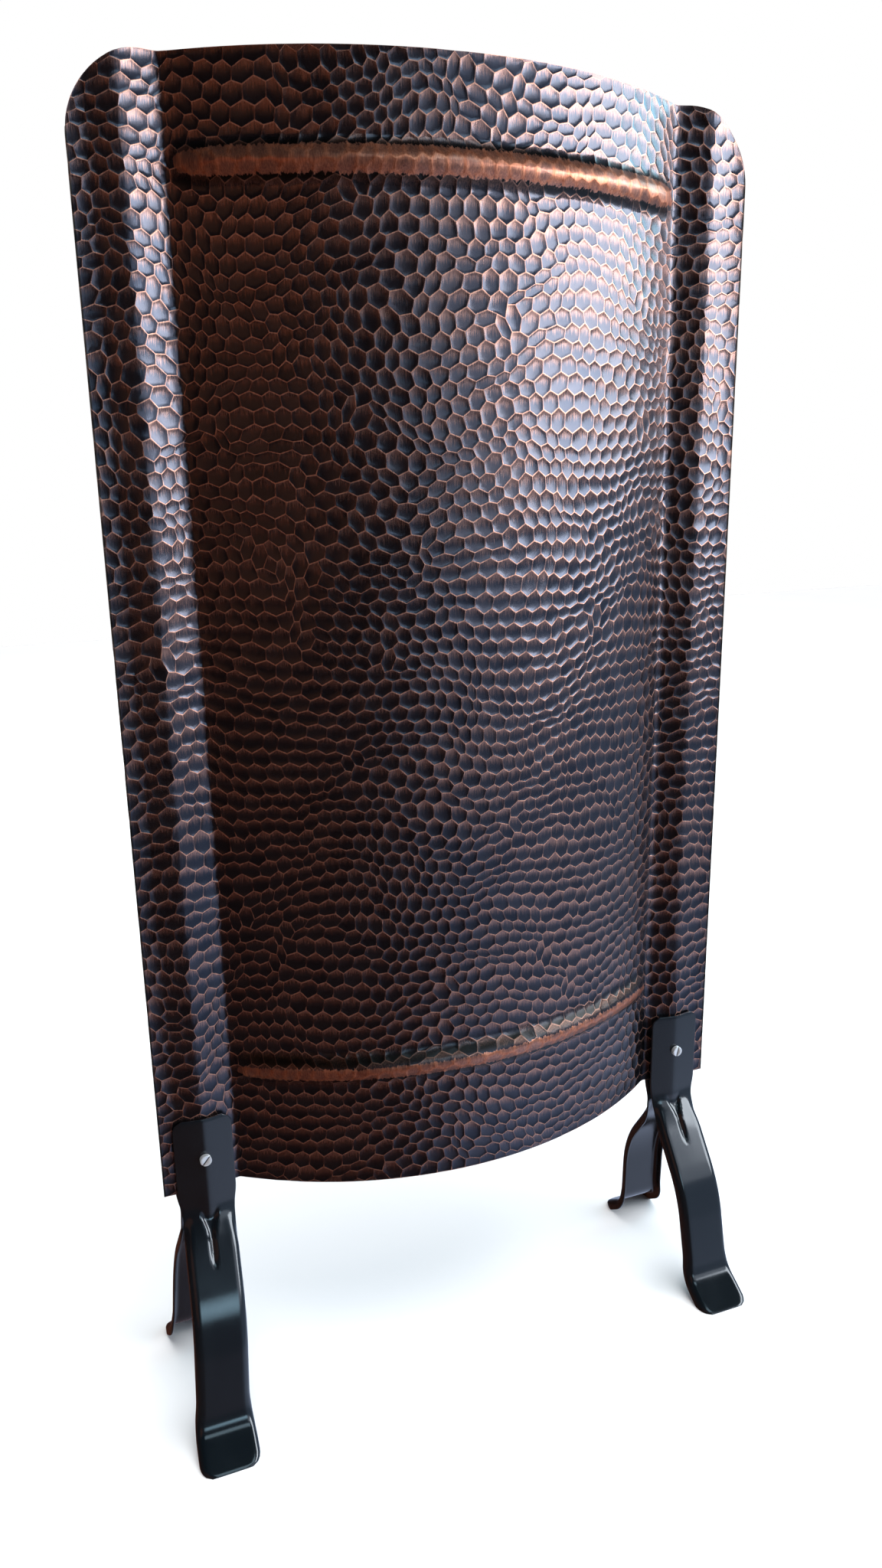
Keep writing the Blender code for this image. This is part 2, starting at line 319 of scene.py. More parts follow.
# ---- Hammered panel ------------------------------------------------------------------------
# One sheet of steel, embossed with hammer dimples, then rolled into a bow with a rib down each
# side and a bead pressed across near each end.  The finish is a dark patina, brushed back
# upright so that copper shows on the ridges between the dimples and on the beads.

panel_low, panel_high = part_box("screen_panel")
HALF_WIDTH = panel_high.x
PANEL_BOTTOM = panel_low.z
PANEL_TOP = panel_high.z
STRIP_X = HALF_WIDTH - 0.012
CREST_X = 0.2015
VALLEY_X = 0.176
CREST_RISE = 0.004
VALLEY_SINK = 0.0045
BOW_RISE = 0.058
FACE_BACK = 0.001
EDGE_SOFT = 0.003
SOFTENING_SAMPLES = 9
SECTION_SAMPLES = 1861
CORNER_RADIUS = 0.050
CORNER_CUTS = 18
BEAD_CENTRES = (PANEL_TOP - 0.060, PANEL_BOTTOM + 0.0945)
BEAD_HALF = 0.0140
BEAD_RISE = 0.0060
BEAD_END_X = 0.173
BEAD_TAPER = 0.024
BEAD_SCORES = 3
BEAD_FLATTENING = 0.62
BEAD_FLAT_REACH = 1.4
BRUSHED_BANDS = ((0.04, 0.56), (-0.24, 0.38))
BRUSHED_FADE = 1.6
BRUSHED_END_REACH = 0.3

CELL = 0.0112
CELL_JITTER = 0.18
CELL_SEED = 11
SPARE_CELLS = 4
ROW_WANDER = (0.35, 0.25)
CORNER_CUT_PERCENT = 100 / 3
SLIVER = 0.0006
SLIVER_ANGLE = math.radians(40)
BOWL_SIZES = 8
LARGEST_BOWL = 1.125
DIMPLE_STEPS = ((0.00028, 0.00004), (0.00090, 0.00026), (0.00190, 0.00022))
DIMPLE_BELLY = 0.00006
DIMPLE_FLOOR = 0.00052
BACK_DEPTH = 0.00075
BACK_BUMP = 0.00028
TONE_SEED = 5
PANEL_CREASE = 62

# Colours that vary are pairs, the darker first.
SLATE = (0.046, 0.052, 0.070), (0.080, 0.080, 0.098)
BROWN_PATINA = (0.075, 0.050, 0.044)
# Painted shade for the beads' flanks, also used for the dark line along the sheet's outer edges.
FLANK_SHADE_AND_RIM_DARK = (0.009, 0.008, 0.005)
RIDGE_COPPER = (0.50, 0.19, 0.105), (0.82, 0.46, 0.34)
BEAD_COPPER = (0.38, 0.085, 0.030), (0.78, 0.32, 0.18)
COARSE_HAIRS = (520, 520, 34)
BRUSH_HAIRS = (1500, 1500, 110)
FINE_HAIRS = (4200, 4200, 240)
RIM_WIDTH = 0.0018
RIM_FADE = 0.0010


def sharp_section(x):
    """The front of the sheet before its folds are softened."""
    x = abs(x)
    if x >= STRIP_X:
        return -FACE_BACK
    if x >= CREST_X:
        return -FACE_BACK - CREST_RISE * (STRIP_X - x) / (STRIP_X - CREST_X)
    if x >= VALLEY_X:
        climb = (x - VALLEY_X) / (CREST_X - VALLEY_X)
        return -FACE_BACK + VALLEY_SINK - (CREST_RISE + VALLEY_SINK) * climb
    radius = (VALLEY_X ** 2 + BOW_RISE ** 2) / (2 * BOW_RISE)
    return -FACE_BACK + VALLEY_SINK - (math.sqrt(radius ** 2 - x ** 2) - (radius - BOW_RISE))


section_x = np.linspace(-HALF_WIDTH, HALF_WIDTH, SECTION_SAMPLES)
section_y = np.array([
    np.mean([sharp_section(x + EDGE_SOFT * near) for near in np.linspace(-1, 1, SOFTENING_SAMPLES)])
    for x in section_x])
section_slope = np.gradient(section_y, section_x)
section_run = np.concatenate([[0.0], np.cumsum(np.hypot(np.diff(section_x), np.diff(section_y)))])
section_run -= section_run[-1] / 2
HALF_RUN = section_run[-1]


def bead_shape(x, z):
    """(height, brushing, flank) of the beads pressed across the bow.

    Brushing is above 1/2 where the brush rubbed the bead: the middle of the top bead, and the
    lower half of the bottom one.  Flank is 1 where a bead's side is steepest; the finish paints
    shade there.
    """
    along = min(max((BEAD_END_X - abs(x)) / BEAD_TAPER, 0.0), 1.0)
    along = math.sqrt(along * (2 - along))
    bead = min((0, 1), key=lambda number: abs(z - BEAD_CENTRES[number]))
    across = (z - BEAD_CENTRES[bead]) / BEAD_HALF
    if along == 0.0 or abs(across) >= 1:
        return 0.0, 0.0, 0.0
    height = along * (1 + math.cos(math.pi * across)) / 2
    middle, reach = BRUSHED_BANDS[bead]
    reach *= BRUSHED_END_REACH + (1 - BRUSHED_END_REACH) * along
    brushing = 0.5 + BRUSHED_FADE * (reach - abs(across - middle))
    return height, min(max(brushing, 0.0), 1.0), along * math.sin(math.pi * abs(across))


def wander(first, second):
    """A slow unevenness of the rows, as the hammer leaves them."""
    return ROW_WANDER[0] * math.sin(first) + ROW_WANDER[1] * math.sin(second)


def uneven_triangles():
    """A flat grid of triangles with its corners moved about; each corner and each triangle
    becomes a cell."""
    bm = bmesh.new()
    pitch = CELL * math.sqrt(3)
    stride = pitch * math.sqrt(3) / 2
    columns = math.ceil(2 * HALF_RUN / stride) + SPARE_CELLS
    rows = math.ceil((PANEL_TOP - PANEL_BOTTOM) / pitch) + SPARE_CELLS
    bmesh.ops.create_grid(bm, x_segments=columns, y_segments=rows, size=0.5)
    bmesh.ops.triangulate(bm, faces=bm.faces)
    rng = random.Random(CELL_SEED)
    for vert in bm.verts:
        column = round((vert.co.x + 0.5) * columns)
        u = vert.co.x * columns * stride
        row = (vert.co.y + 0.5) * rows - SPARE_CELLS / 2 + (column % 2 - 0.5) / 2
        z = PANEL_BOTTOM + row * pitch
        drift = wander(u * 17 + z * 8, u * 41 - z * 19 + 1)
        sway = wander(z * 13 - u * 11, z * 37 + u * 23 + 2)
        vert.co = (
            u + (sway + rng.uniform(-1, 1) * CELL_JITTER) * pitch,
            0.0,
            z + (drift + rng.uniform(-1, 1) * CELL_JITTER) * pitch)
    bmesh.ops.beautify_fill(bm, faces=bm.faces, edges=bm.edges)
    return bm


def trim(bm, place, outward):
    """Cuts away everything beyond a plane."""
    bmesh.ops.bisect_plane(
        bm, geom=bm.verts[:] + bm.edges[:] + bm.faces[:], dist=1e-7,
        plane_co=place, plane_no=outward, clear_outer=True)


def score(bm, place, across):
    """Cuts the faces along a line, so that a fold or a bead can bend there."""
    bmesh.ops.bisect_plane(
        bm, geom=bm.verts[:] + bm.edges[:] + bm.faces[:], dist=1e-6,
        plane_co=place, plane_no=across)


def trim_to_outline(bm):
    trim(bm, (0, 0, PANEL_BOTTOM), (0, 0, -1))
    trim(bm, (0, 0, PANEL_TOP), (0, 0, 1))
    for side in (-1, 1):
        trim(bm, (side * HALF_RUN, 0, 0), (side, 0, 0))
        centre = Vector((side * (HALF_RUN - CORNER_RADIUS), 0, PANEL_TOP - CORNER_RADIUS))
        for step in range(1, CORNER_CUTS):
            angle = math.radians(90 * step / CORNER_CUTS)
            outward = Vector((side * math.sin(angle), 0, math.cos(angle)))
            trim(bm, centre + outward * CORNER_RADIUS, outward)


def inner_radius(face):
    """The distance from a cell's centre to its nearest side; none for a pointed sliver."""
    if min(loop.calc_angle() for loop in face.loops) < SLIVER_ANGLE:
        return 0.0
    centre = face.calc_center_median()
    radii = []
    for loop in face.loops:
        start, end = loop.vert.co, loop.link_loop_next.vert.co
        radii.append((centre - start).cross(end - start).length / (end - start).length)
    return min(radii)


def press_dimples(bm, front):
    """A ridge and a round bowl in every cell, smaller and shallower in the smaller cells."""
    groups = {}
    for face in front:
        size = math.floor(inner_radius(face) / (CELL / 2) * BOWL_SIZES) / BOWL_SIZES
        size = min(size, LARGEST_BOWL)
        if size > 0:
            groups.setdefault(size, []).append(face)
    for size, cells in sorted(groups.items()):
        for width, drop in DIMPLE_STEPS:
            bmesh.ops.inset_individual(
                bm, faces=cells, thickness=width * size, depth=-drop * size,
                use_even_offset=True)
        bmesh.ops.poke(bm, faces=cells, offset=-DIMPLE_BELLY * size, center_mode="MEAN_WEIGHTED")


def inside_outline(u, z):
    """The nearest place inside the sheet's outline."""
    u = min(max(u, -HALF_RUN), HALF_RUN)
    z = min(max(z, PANEL_BOTTOM), PANEL_TOP)
    hub = Vector((math.copysign(HALF_RUN - CORNER_RADIUS, u), PANEL_TOP - CORNER_RADIUS))
    reach = Vector((u, z)) - hub
    if z > hub.y and abs(u) > abs(hub.x) and reach.length > CORNER_RADIUS:
        u, z = hub + reach.normalized() * CORNER_RADIUS
    return u, z


def roll_sheet(bm, brushing_layer, depth_layer, flank_layer):
    """Folds the flat sheet: ribs, bow and beads."""
    for vert in bm.verts:
        sunk = vert.co.y
        u, z = inside_outline(vert.co.x, vert.co.z)
        x = float(np.interp(u, section_run, section_x))
        y = float(np.interp(u, section_run, section_y))
        slope = float(np.interp(x, section_x, section_slope))
        height, brushing, flank = bead_shape(x, z)
        on_back = sunk > BACK_DEPTH - 1e-5
        vert[brushing_layer] = brushing
        vert[flank_layer] = flank
        vert[depth_layer] = 2.0 if on_back else min(sunk / DIMPLE_FLOOR, 1.0)
        if not on_back:
            sunk *= 1 - BEAD_FLATTENING * min(height * BEAD_FLAT_REACH, 1.0)
        back = Vector((-slope, 1.0, 0.0)).normalized()
        vert.co = Vector((x, y, z)) + back * sunk - Vector((0, BEAD_RISE * height, 0))


def finished(name, bm, sharp_angle):
    mesh = bpy.data.meshes.new(name)
    bm.to_mesh(mesh)
    bm.free()
    mesh.shade_smooth()
    mesh.set_sharp_from_angle(angle=math.radians(sharp_angle))
    made = bpy.data.objects.new(name, mesh)
    bpy.context.collection.objects.link(made)
    return made


def honeycomb():
    """The flat sheet's outline, filled with cells: every corner of the triangles cut back by a
    third."""
    bm = uneven_triangles()
    bmesh.ops.bevel(
        bm, geom=bm.verts[:], affect="VERTICES", offset=CORNER_CUT_PERCENT,
        offset_type="PERCENT", segments=1, profile=0.5, material=-1, clamp_overlap=False)
    trim_to_outline(bm)
    bmesh.ops.dissolve_degenerate(bm, dist=SLIVER, edges=bm.edges)
    bmesh.ops.recalc_face_normals(bm, faces=bm.faces)
    if bm.faces[:][0].normal.y > 0:
        bmesh.ops.reverse_faces(bm, faces=bm.faces)
    return bm


def hammered_panel():
    """Embosses the honeycomb on a flat sheet and rolls it."""
    bm = honeycomb()
    rng = random.Random(TONE_SEED)
    tone = bm.faces.layers.float.new("tone")
    middle = bm.faces.layers.float.new("middle")
    for face in bm.faces:
        face[tone] = rng.random()
        face[middle] = face.calc_center_median().z

    front = bm.faces[:]
    copy = bmesh.ops.duplicate(bm, geom=bm.verts[:] + bm.edges[:] + front)["geom"]
    back = [item for item in copy if isinstance(item, bmesh.types.BMFace)]
    back_verts = [item for item in copy if isinstance(item, bmesh.types.BMVert)]
    bmesh.ops.translate(bm, verts=back_verts, vec=(0, BACK_DEPTH, 0))
    bmesh.ops.reverse_faces(bm, faces=back)
    rims = [edge for edge in bm.edges if edge.is_boundary]
    bmesh.ops.bridge_loops(bm, edges=rims)

    press_dimples(bm, front)
    bmesh.ops.poke(bm, faces=back, offset=BACK_BUMP, center_mode="MEAN_WEIGHTED")
    for x in (CREST_X, VALLEY_X, STRIP_X):
        u = float(np.interp(x, section_x, section_run))
        for side in (-1, 1):
            score(bm, (side * u, 0, 0), (1, 0, 0))
    for centre in BEAD_CENTRES:
        for step in range(-BEAD_SCORES, BEAD_SCORES + 1):
            score(bm, (0, 0, centre + BEAD_HALF * step / BEAD_SCORES), (0, 0, 1))

    lift = bm.loops.layers.float.new("lift")
    for face in bm.faces:
        for loop in face.loops:
            loop[lift] = (loop.vert.co.z - face[middle]) / (CELL / 2)
    brushing_layer = bm.verts.layers.float.new("brushing")
    depth_layer = bm.verts.layers.float.new("depth")
    flank_layer = bm.verts.layers.float.new("flank")
    roll_sheet(bm, brushing_layer, depth_layer, flank_layer)
    return finished("hammered_panel", bm, PANEL_CREASE)


def copper_patina():
    """Slate and brown patina with copper brushed bare on the ridges and the beads.

    The mesh carries each cell's tone, the depth in its bowl, the height from its middle (lift),
    and the brushing and the flanks of the beads; the flanks are painted with shade.
    """
    look = Finish("brushed_copper_patina", IOR=1.5, Coat_Roughness=0.15)
    depth = look.own("depth")
    lift = look.own("lift")
    tone = look.own("tone")
    streak = look.noise(look.place(BRUSH_HAIRS), detail=3.0, rough=0.6)
    fine = look.noise(look.place(FINE_HAIRS), detail=2.0)
    cloud = look.noise(look.place(), scale=7.0, detail=3.0)
    coarse = look.noise(look.place(COARSE_HAIRS), detail=2.0, rough=0.6)
    # Upright strokes bare the ridges that they cross more than those that they run along.
    upright = (lift * lift).ramp(0.05, 0.60)
    crest = (1 - depth * 3.0 + (streak - 0.5) * 1.3).ramp(0.30, 0.90)
    ridge = crest * (0.26 + 0.74 * upright)
    # The hairs also leave a haze of copper in the upper half of each cell.
    combed = (lift + (streak - 0.5) * 2.4 + (cloud - 0.5) * 1.2).ramp(-0.1, 1.3) * 0.44
    # The beads are rubbed bare, with ragged borders, and a little less in their dimples.
    worn = 1.15 - 0.55 * depth + (streak - 0.5) * 0.9
    rubbed = (look.own("brushing") + (coarse - 0.5) * 0.7).ramp(0.44, 0.56)
    # Painted shade darkens the beads' steep sides where they are not rubbed bare, and the sheet's
    # outer edges are darkened too.
    across = look.along("X")
    rim_start = HALF_WIDTH - RIM_WIDTH
    rim = ((across * across) ** 0.5).ramp(rim_start, rim_start + RIM_FADE)
    flank_shade_and_dark_rim = (look.own("flank") * (1 - rubbed)).at_least(rim)
    bare = (rubbed * worn).at_most(0.95)
    copper = (ridge.at_least(combed) * (1 - 0.75 * flank_shade_and_dark_rim)).at_least(bare)
    patina = look.mix((cloud - 0.35) * 0.7, look.mix(tone, *SLATE), BROWN_PATINA)
    # Painted shade: the beads' flanks and the sheet's outer edges go near black.
    dark = look.mix(flank_shade_and_dark_rim * 0.95, patina, FLANK_SHADE_AND_RIM_DARK)
    combing = ((streak + coarse - 1) * 1.4 + 0.5).at_least(0).at_most(1)
    metal = look.mix(bare, look.mix(streak, *RIDGE_COPPER), look.mix(combing, *BEAD_COPPER))
    look.set(
        Base_Color=look.mix(copper, dark, metal),
        Metallic=0.96 - copper * 0.04,
        Roughness=0.13 + 0.06 * tone + 0.08 * fine + 0.20 * copper + 0.16 * flank_shade_and_dark_rim,
        Coat_Weight=0.2 - 0.15 * copper,
        Normal=look.relief(fine + streak, 0.00005, 0.6))
    return look.material


panel = hammered_panel()
panel.data.materials.append(copper_patina())
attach(panel, "root")
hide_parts("screen_panel")


# ---- Legs ----------------------------------------------------------------------------------
# Four pressings of 1.5 mm steel: a plate creased to sit on the rib, in front or behind, then a
# channel with rounded flanges that bends out to a flared foot, stiffened by a dart below the
# shoulder.  Each is dipped in satin black enamel, which rounds every edge.

SHEET = 0.0015
PLATE_WIDTH = 0.0435
PLATE_TOP = PANEL_BOTTOM + 0.060
PLATE_CORNER = 0.008
SHOULDER_Z = PANEL_BOTTOM - 0.018
LEG_LINE = (SHOULDER_Z, (0.049, 0.094), (0.059, 0.019), (0.0860, 0.0))
LEG_BENDS = (0.022, 0.110, 0.018)
BEND_STEP = 0.002
RUN_STEP = 0.003
ANKLE_Z = LEG_LINE[2][1]
TOE_Y = LEG_LINE[3][0]
NECK_WIDTH = 0.039
NECK_TAPER = 0.020
FOOT_WIDTH = 0.044
FOOT_CORNER = 0.009
FLARE_START = 0.02
FLARE_LENGTH = 0.03
ROUNDED_SHARE = 0.985
FLANGE_DEPTH = 0.009
FLANGE_BEND = 0.005
FLANGE_LENGTH = 0.030
FLANGE_START = SHOULDER_Z + 0.004
RIM_TRIM = 0.0012
RIM_ROUND = 0.00035
SPLAY = 0.010
DART_WIDTH = 0.016
DART_TIP_WIDTH = 0.006
DART_LENGTH = 0.036
DART_DEPTH = 0.003
DART_WALL = 0.0025
SCREW_Z = PANEL_BOTTOM + 0.028
PLATE_Y = {-1: -0.0062, 1: -0.0028}
PLATE_SLOPE = {-1: 0.17, 1: 0.36}
CREASE_ROUND = 0.06
ACROSS = 18
ENAMEL = (0.002, 0.0035, 0.005), (0.007, 0.012, 0.016)


def smoothstep(t):
    """0 below 0, 1 above 1, smooth between."""
    t = min(max(t, 0.0), 1.0)
    return t * t * (3 - 2 * t)


def bent_line(corners, radii):
    """Points 2 to 3 mm apart along straight runs joined by arcs."""
    points = [Vector(corners[0])]
    for before, corner, after, radius in zip(corners, corners[1:], corners[2:], radii):
        corner = Vector(corner)
        come = (corner - Vector(before)).normalized()
        leave = (Vector(after) - corner).normalized()
        turn = come.angle(leave)
        side = 1 if come.cross(leave) > 0 else -1
        start = corner - come * radius * math.tan(turn / 2)
        hub = start + Vector((-come.y, come.x)) * side * radius
        steps = math.ceil(turn * radius / BEND_STEP)
        for step in range(steps + 1):
            points.append(hub + Matrix.Rotation(side * turn * step / steps, 2) @ (start - hub))
    points.append(Vector(corners[-1]))
    made = [points[0]]
    for start, end in zip(points, points[1:]):
        pieces = max(1, math.ceil((end - start).length / RUN_STEP))
        made += [start.lerp(end, step / pieces) for step in range(1, pieces + 1)]
    return made


def leg_half_width(y, z):
    """Half the leg's width: rounded at the plate's top, narrow at the neck, flared at the toe."""
    if z > PANEL_BOTTOM:
        into = min(max(z - (PLATE_TOP - PLATE_CORNER), 0.0), ROUNDED_SHARE * PLATE_CORNER)
        return PLATE_WIDTH / 2 - PLATE_CORNER + math.sqrt(PLATE_CORNER ** 2 - into ** 2)
    neck = (PLATE_WIDTH - NECK_WIDTH) * smoothstep((PANEL_BOTTOM - z) / NECK_TAPER)
    flare = (FOOT_WIDTH - NECK_WIDTH) * smoothstep((ANKLE_Z + FLARE_START - z) / FLARE_LENGTH)
    into = min(max(y - (TOE_Y - FOOT_CORNER), 0.0), ROUNDED_SHARE * FOOT_CORNER)
    return ((PLATE_WIDTH - neck + flare) / 2 - FOOT_CORNER
            + math.sqrt(FOOT_CORNER ** 2 - into ** 2))


def leg_section(share, half, channel, slope, depth):
    """(sideways, inward) at a share of the way from the middle to the rim."""
    web = half - FLANGE_BEND
    bend = FLANGE_BEND * math.pi / 2
    run = share * (web + bend + FLANGE_DEPTH - FLANGE_BEND)
    if run < web:
        spot = Vector((run, 0.0))
    elif run < web + bend:
        angle = (run - web) / FLANGE_BEND
        spot = Vector((web + FLANGE_BEND * math.sin(angle), FLANGE_BEND * (1 - math.cos(angle))))
    else:
        spot = Vector((half, FLANGE_BEND + run - web - bend))
    spot.y *= depth / FLANGE_DEPTH
    crease = half * math.hypot(share, CREASE_ROUND) - half * CREASE_ROUND
    return Vector((half * share, crease * slope)).lerp(spot, channel)


def dart_depth(sideways, z):
    """The stiffening dart: wide and deep below the shoulder, then a groove with a round tip."""
    down = (FLANGE_START - z) / DART_LENGTH
    if not 0 < down < 1:
        return 0.0
    half = (DART_WIDTH + (DART_TIP_WIDTH - DART_WIDTH) * smoothstep(2 * down)) / 2
    half *= math.sqrt(1 - down ** 10)
    edge = smoothstep((half - abs(sideways)) / DART_WALL)
    return DART_DEPTH * (1 - down / 2) * smoothstep(4 * down) * edge


def pressed_leg(name, side, facing):
    """One leg, on the side at -1 or 1, in front of the rib (-1) or behind it (1)."""
    start = PLATE_Y[facing] * facing
    line = bent_line([(start, PLATE_TOP), (start, LEG_LINE[0]), *LEG_LINE[1:]], LEG_BENDS)
    bm = bmesh.new()
    bmesh.ops.create_grid(bm, x_segments=2 * ACROSS, y_segments=len(line) - 1, size=0.5)
    for vert in bm.verts:
        index = round((vert.co.y + 0.5) * (len(line) - 1))
        share = vert.co.x * 2
        point = line[index]
        ahead = line[min(index + 1, len(line) - 1)] - line[max(index - 1, 0)]
        inward = Vector((ahead.y, -ahead.x)).normalized()
        channel = smoothstep((FLANGE_START - point.y) / FLANGE_LENGTH)
        depth = min(FLANGE_DEPTH, (point.y + RIM_TRIM) / max(-inward.y, 0.1))
        out, sunk = leg_section(
            abs(share), leg_half_width(*point), channel, PLATE_SLOPE[facing] * -facing, depth)
        out = math.copysign(out, share)
        spot = point + inward * (sunk + dart_depth(out, point.y) - SHEET / 2)
        lean = side * SPLAY * max(SHOULDER_Z - point.y, 0.0) / SHOULDER_Z
        vert.co = (side * CREST_X + lean + out, facing * spot.x, spot.y)
    bmesh.ops.recalc_face_normals(bm, faces=bm.faces)
    plate = min(bm.faces, key=lambda face: (face.calc_center_median() - Vector(
        (side * CREST_X, PLATE_Y[facing], SCREW_Z))).length)
    if plate.normal.y * facing < 0:
        bmesh.ops.reverse_faces(bm, faces=bm.faces)
    bmesh.ops.solidify(bm, geom=bm.verts[:] + bm.edges[:] + bm.faces[:], thickness=SHEET)
    bmesh.ops.recalc_face_normals(bm, faces=bm.faces)
    rims = [
        edge for edge in bm.edges
        if len(edge.link_faces) == 2 and edge.calc_face_angle() > math.radians(60)]
    bmesh.ops.bevel(
        bm, geom=rims, affect="EDGES", offset=RIM_ROUND, segments=2, profile=0.5, material=-1)
    trim(bm, (0, 0, 0), (0, 0, -1))
    bmesh.ops.holes_fill(bm, edges=[edge for edge in bm.edges if edge.is_boundary])
    return finished(name, bm, 45)


def satin_enamel():
    """Black stove enamel: soft gloss, a faint orange peel, and dust wiped along the legs."""
    look = Finish("satin_black_enamel", IOR=1.68)
    peel = look.noise(look.place(), scale=420.0, detail=2.0)
    smudge = look.noise(look.place((1, 1, 0.45)), scale=38.0, detail=4.0, distortion=0.6)
    dust = look.noise(look.place(), scale=1500.0, detail=1.0).ramp(0.70, 0.80)
    look.set(
        Base_Color=look.mix(smudge * 0.4 + dust * 0.3, *ENAMEL),
        Roughness=0.09 + 0.12 * smudge + 0.10 * dust,
        Normal=look.relief(peel, 0.00003, 0.35))
    return look.material


enamel = satin_enamel()
for side_name, side in (("left", -1), ("right", 1)):
    for end_name, facing in (("front", -1), ("rear", 1)):
        node = f"{end_name}_leg_{side_name}"
        leg = pressed_leg(node + "_pressing", side, facing)
        leg.data.materials.append(enamel)
        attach(leg, "root")
        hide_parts(node)


# ---- Clamp screws --------------------------------------------------------------------------
# At each side one slotted cheese-head screw clamps the front plate, the rib and the rear plate
# together, with a washer and a hexagon nut behind.  All are turned steel, bright zinc plated.

SEAT_Y = -0.0074
HEAD_RADIUS = 0.00425
HEAD_HEIGHT = 0.0033
HEAD_EDGE = 0.0005
SLOT_WIDTH = 0.0012
SLOT_DEPTH = 0.0014
SLOT_TURN = {"left": math.radians(50), "right": math.radians(78)}
THREAD_RADIUS = 0.0024
THREAD_CUT = 0.0003
THREAD_PITCH = 0.0008
SCREW_LENGTH = 0.016
HOLE_RADIUS = 0.00275
WASHER_RADIUS = 0.005
WASHER_THICKNESS = 0.001
WASHER_EDGE = 0.0002
WASHER_Y = 0.0002
NUT_FLATS = 0.008
NUT_HEIGHT = 0.004
NUT_CHAMFER = 0.0005
NUT_Y = 0.0015
ZINC = (0.62, 0.63, 0.65), (0.90, 0.91, 0.92)
# Painted shade inside the screw slot.
SLOT_SHADE_COLOUR = (0.020, 0.020, 0.022)
RING_WIDTH = 0.00022


def turned(name, side, profile, sharp_angle=35, around=64):
    """Spins a (radius, y) profile round the screw's axis."""
    centre = Vector((side * CREST_X, 0, SCREW_Z))
    bm = bmesh.new()
    verts = [bm.verts.new(centre + Vector((radius, y, 0))) for radius, y in profile]
    edges = [bm.edges.new(pair) for pair in zip(verts, verts[1:])]
    if profile[0][0] > 0:
        edges.append(bm.edges.new((verts[-1], verts[0])))
    bmesh.ops.spin(
        bm, geom=verts + edges, cent=centre, axis=(0, 1, 0), angle=math.tau, steps=around,
        use_merge=True)
    bmesh.ops.remove_doubles(bm, verts=bm.verts, dist=1e-6)
    bmesh.ops.recalc_face_normals(bm, faces=bm.faces)
    return finished(name, bm, sharp_angle)


def carve(piece, tool, operation):
    """Cuts a piece with a tool, or keeps only what lies inside it, and drops the tool."""
    boolean = piece.modifiers.new("carve", "BOOLEAN")
    boolean.operation = operation
    boolean.object = tool
    carved = bpy.data.meshes.new_from_object(
        piece.evaluated_get(bpy.context.evaluated_depsgraph_get()))
    piece.modifiers.clear()
    piece.data = carved
    bpy.data.objects.remove(tool)


def clamp_screw(label, side):
    """A rounded cheese head, a thread cut in rings, and a slot across the head."""
    top = SEAT_Y - HEAD_HEIGHT
    profile = [(0.0, top)]
    for angle in (90, 60, 30, 0):
        lift, out = math.sin(math.radians(angle)), math.cos(math.radians(angle))
        profile.append((HEAD_RADIUS - HEAD_EDGE * (1 - out), top + HEAD_EDGE * (1 - lift)))
    profile += [(HEAD_RADIUS, SEAT_Y), (THREAD_RADIUS, SEAT_Y)]
    end = SEAT_Y + SCREW_LENGTH
    y = SEAT_Y + THREAD_PITCH
    while y < end - 2 * THREAD_PITCH:
        profile += [(THREAD_RADIUS, y), (THREAD_RADIUS - THREAD_CUT, y + THREAD_PITCH / 2)]
        y += THREAD_PITCH
    profile += [(THREAD_RADIUS, y), (THREAD_RADIUS - 2 * THREAD_CUT, end), (0.0, end)]
    screw = turned("slotted_screw_" + label, side, profile)
    bm = bmesh.new()
    place = (
        Matrix.Translation((side * CREST_X, top, SCREW_Z))
        @ Matrix.Rotation(-SLOT_TURN[label], 4, "Y")
        @ Matrix.Diagonal((4 * HEAD_RADIUS, 2 * SLOT_DEPTH, SLOT_WIDTH, 1)))
    bmesh.ops.create_cube(bm, size=1, matrix=place)
    carve(screw, finished("slot_cutter", bm, 30), "DIFFERENCE")
    return screw


def clamp_washer(label, side):
    """A flat ring with its rims rounded by barrelling."""
    front, back, edge = WASHER_Y, WASHER_Y + WASHER_THICKNESS, WASHER_EDGE
    return turned("plain_washer_" + label, side, [
        (HOLE_RADIUS + edge, front), (WASHER_RADIUS - edge, front), (WASHER_RADIUS, front + edge),
        (WASHER_RADIUS, back - edge), (WASHER_RADIUS - edge, back), (HOLE_RADIUS + edge, back),
        (HOLE_RADIUS, back - edge), (HOLE_RADIUS, front + edge)])


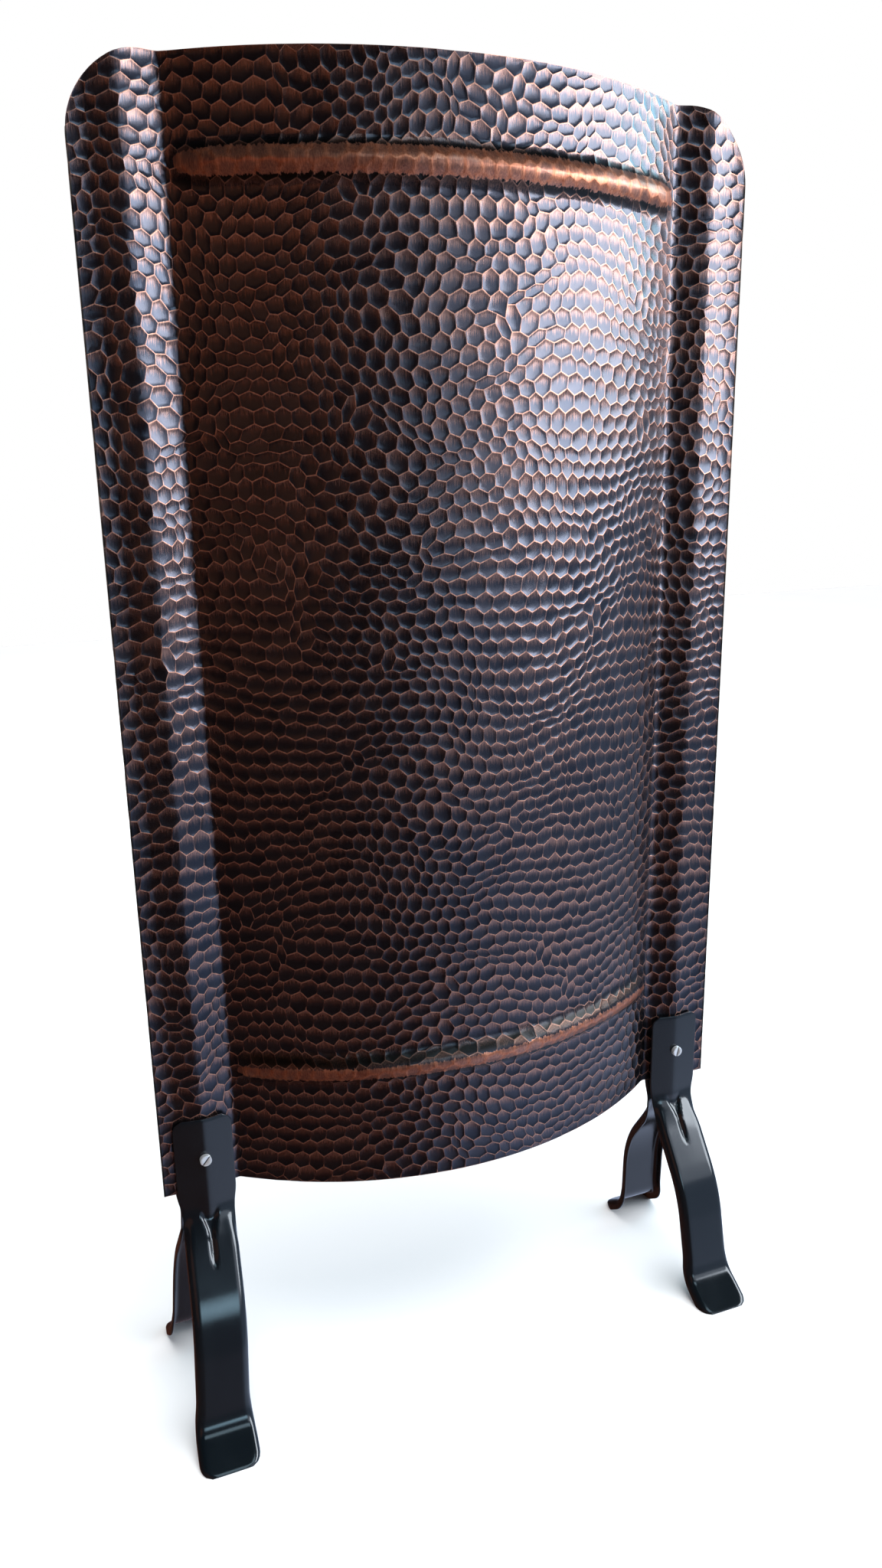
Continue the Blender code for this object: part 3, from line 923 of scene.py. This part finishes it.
def clamp_nut(label, side):
    """Hexagon bar, chamfered on the lathe at both ends and bored."""
    corner = NUT_FLATS / math.sqrt(3)
    flat = NUT_FLATS / 2
    back = NUT_Y + NUT_HEIGHT
    bm = bmesh.new()
    bmesh.ops.create_cone(
        bm, cap_ends=True, segments=6, radius1=corner, radius2=corner, depth=NUT_HEIGHT,
        matrix=Matrix.Translation((side * CREST_X, NUT_Y + NUT_HEIGHT / 2, SCREW_Z))
        @ Matrix.Rotation(math.pi / 2, 4, "X"))
    nut = finished("hexagon_nut_" + label, bm, 30)
    chamfers = turned("nut_turning", side, [
        (HOLE_RADIUS, NUT_Y - NUT_CHAMFER), (flat - NUT_CHAMFER, NUT_Y - NUT_CHAMFER),
        (corner + NUT_CHAMFER, NUT_Y + NUT_CHAMFER), (corner + NUT_CHAMFER, back - NUT_CHAMFER),
        (flat - NUT_CHAMFER, back + NUT_CHAMFER), (HOLE_RADIUS, back + NUT_CHAMFER)])
    carve(nut, chamfers, "INTERSECT")
    return nut


def zinc_plate():
    """Bright zinc over turned steel: fine rings round the axis, scuffs, and painted shade in the
    slot.
    """
    look = Finish("bright_zinc_plate", IOR=2.2)
    across = look.along("X")
    sideways = (across * across) ** 0.5 - CREST_X
    lifted = look.along("Z") - SCREW_Z
    radius = (sideways * sideways + lifted * lifted) ** 0.5
    # Below the head's top and inside its rim there is only the slot.
    sunk = look.along("Y") - (SEAT_Y - HEAD_HEIGHT)
    in_head = sunk.ramp(0.0002, 0.0009) - sunk.ramp(HEAD_HEIGHT - 0.0004, HEAD_HEIGHT)
    # Painted shade: the slot is darkened below the head's top and inside its rim.
    slot_shade = in_head * (1 - radius.ramp(HEAD_RADIUS - 0.0006, HEAD_RADIUS - 0.0002))
    rings = (radius * (math.tau / RING_WIDTH)).sine()
    scuffs = look.noise(look.place((1, 0.3, 1)), scale=2600.0, detail=3.0)
    cloud = look.noise(look.place(), scale=420.0, detail=2.0)
    look.set(
        Base_Color=look.mix(slot_shade * 0.92, look.mix(scuffs, *ZINC), SLOT_SHADE_COLOUR),
        Metallic=0.72 - 0.2 * cloud,
        Roughness=0.26 + 0.16 * scuffs + 0.10 * cloud,
        Normal=look.relief(rings * 0.5 + scuffs, 0.00002, 0.5))
    return look.material


zinc = zinc_plate()
for label, side in (("left", -1), ("right", 1)):
    for kind, make in (
            ("clamp_screw", clamp_screw), ("clamp_washer", clamp_washer),
            ("clamp_nut", clamp_nut)):
        piece = make(label, side)
        piece.data.materials.clear()
        piece.data.materials.append(zinc)
        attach(piece, "root")
        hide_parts(f"{kind}_{label}")
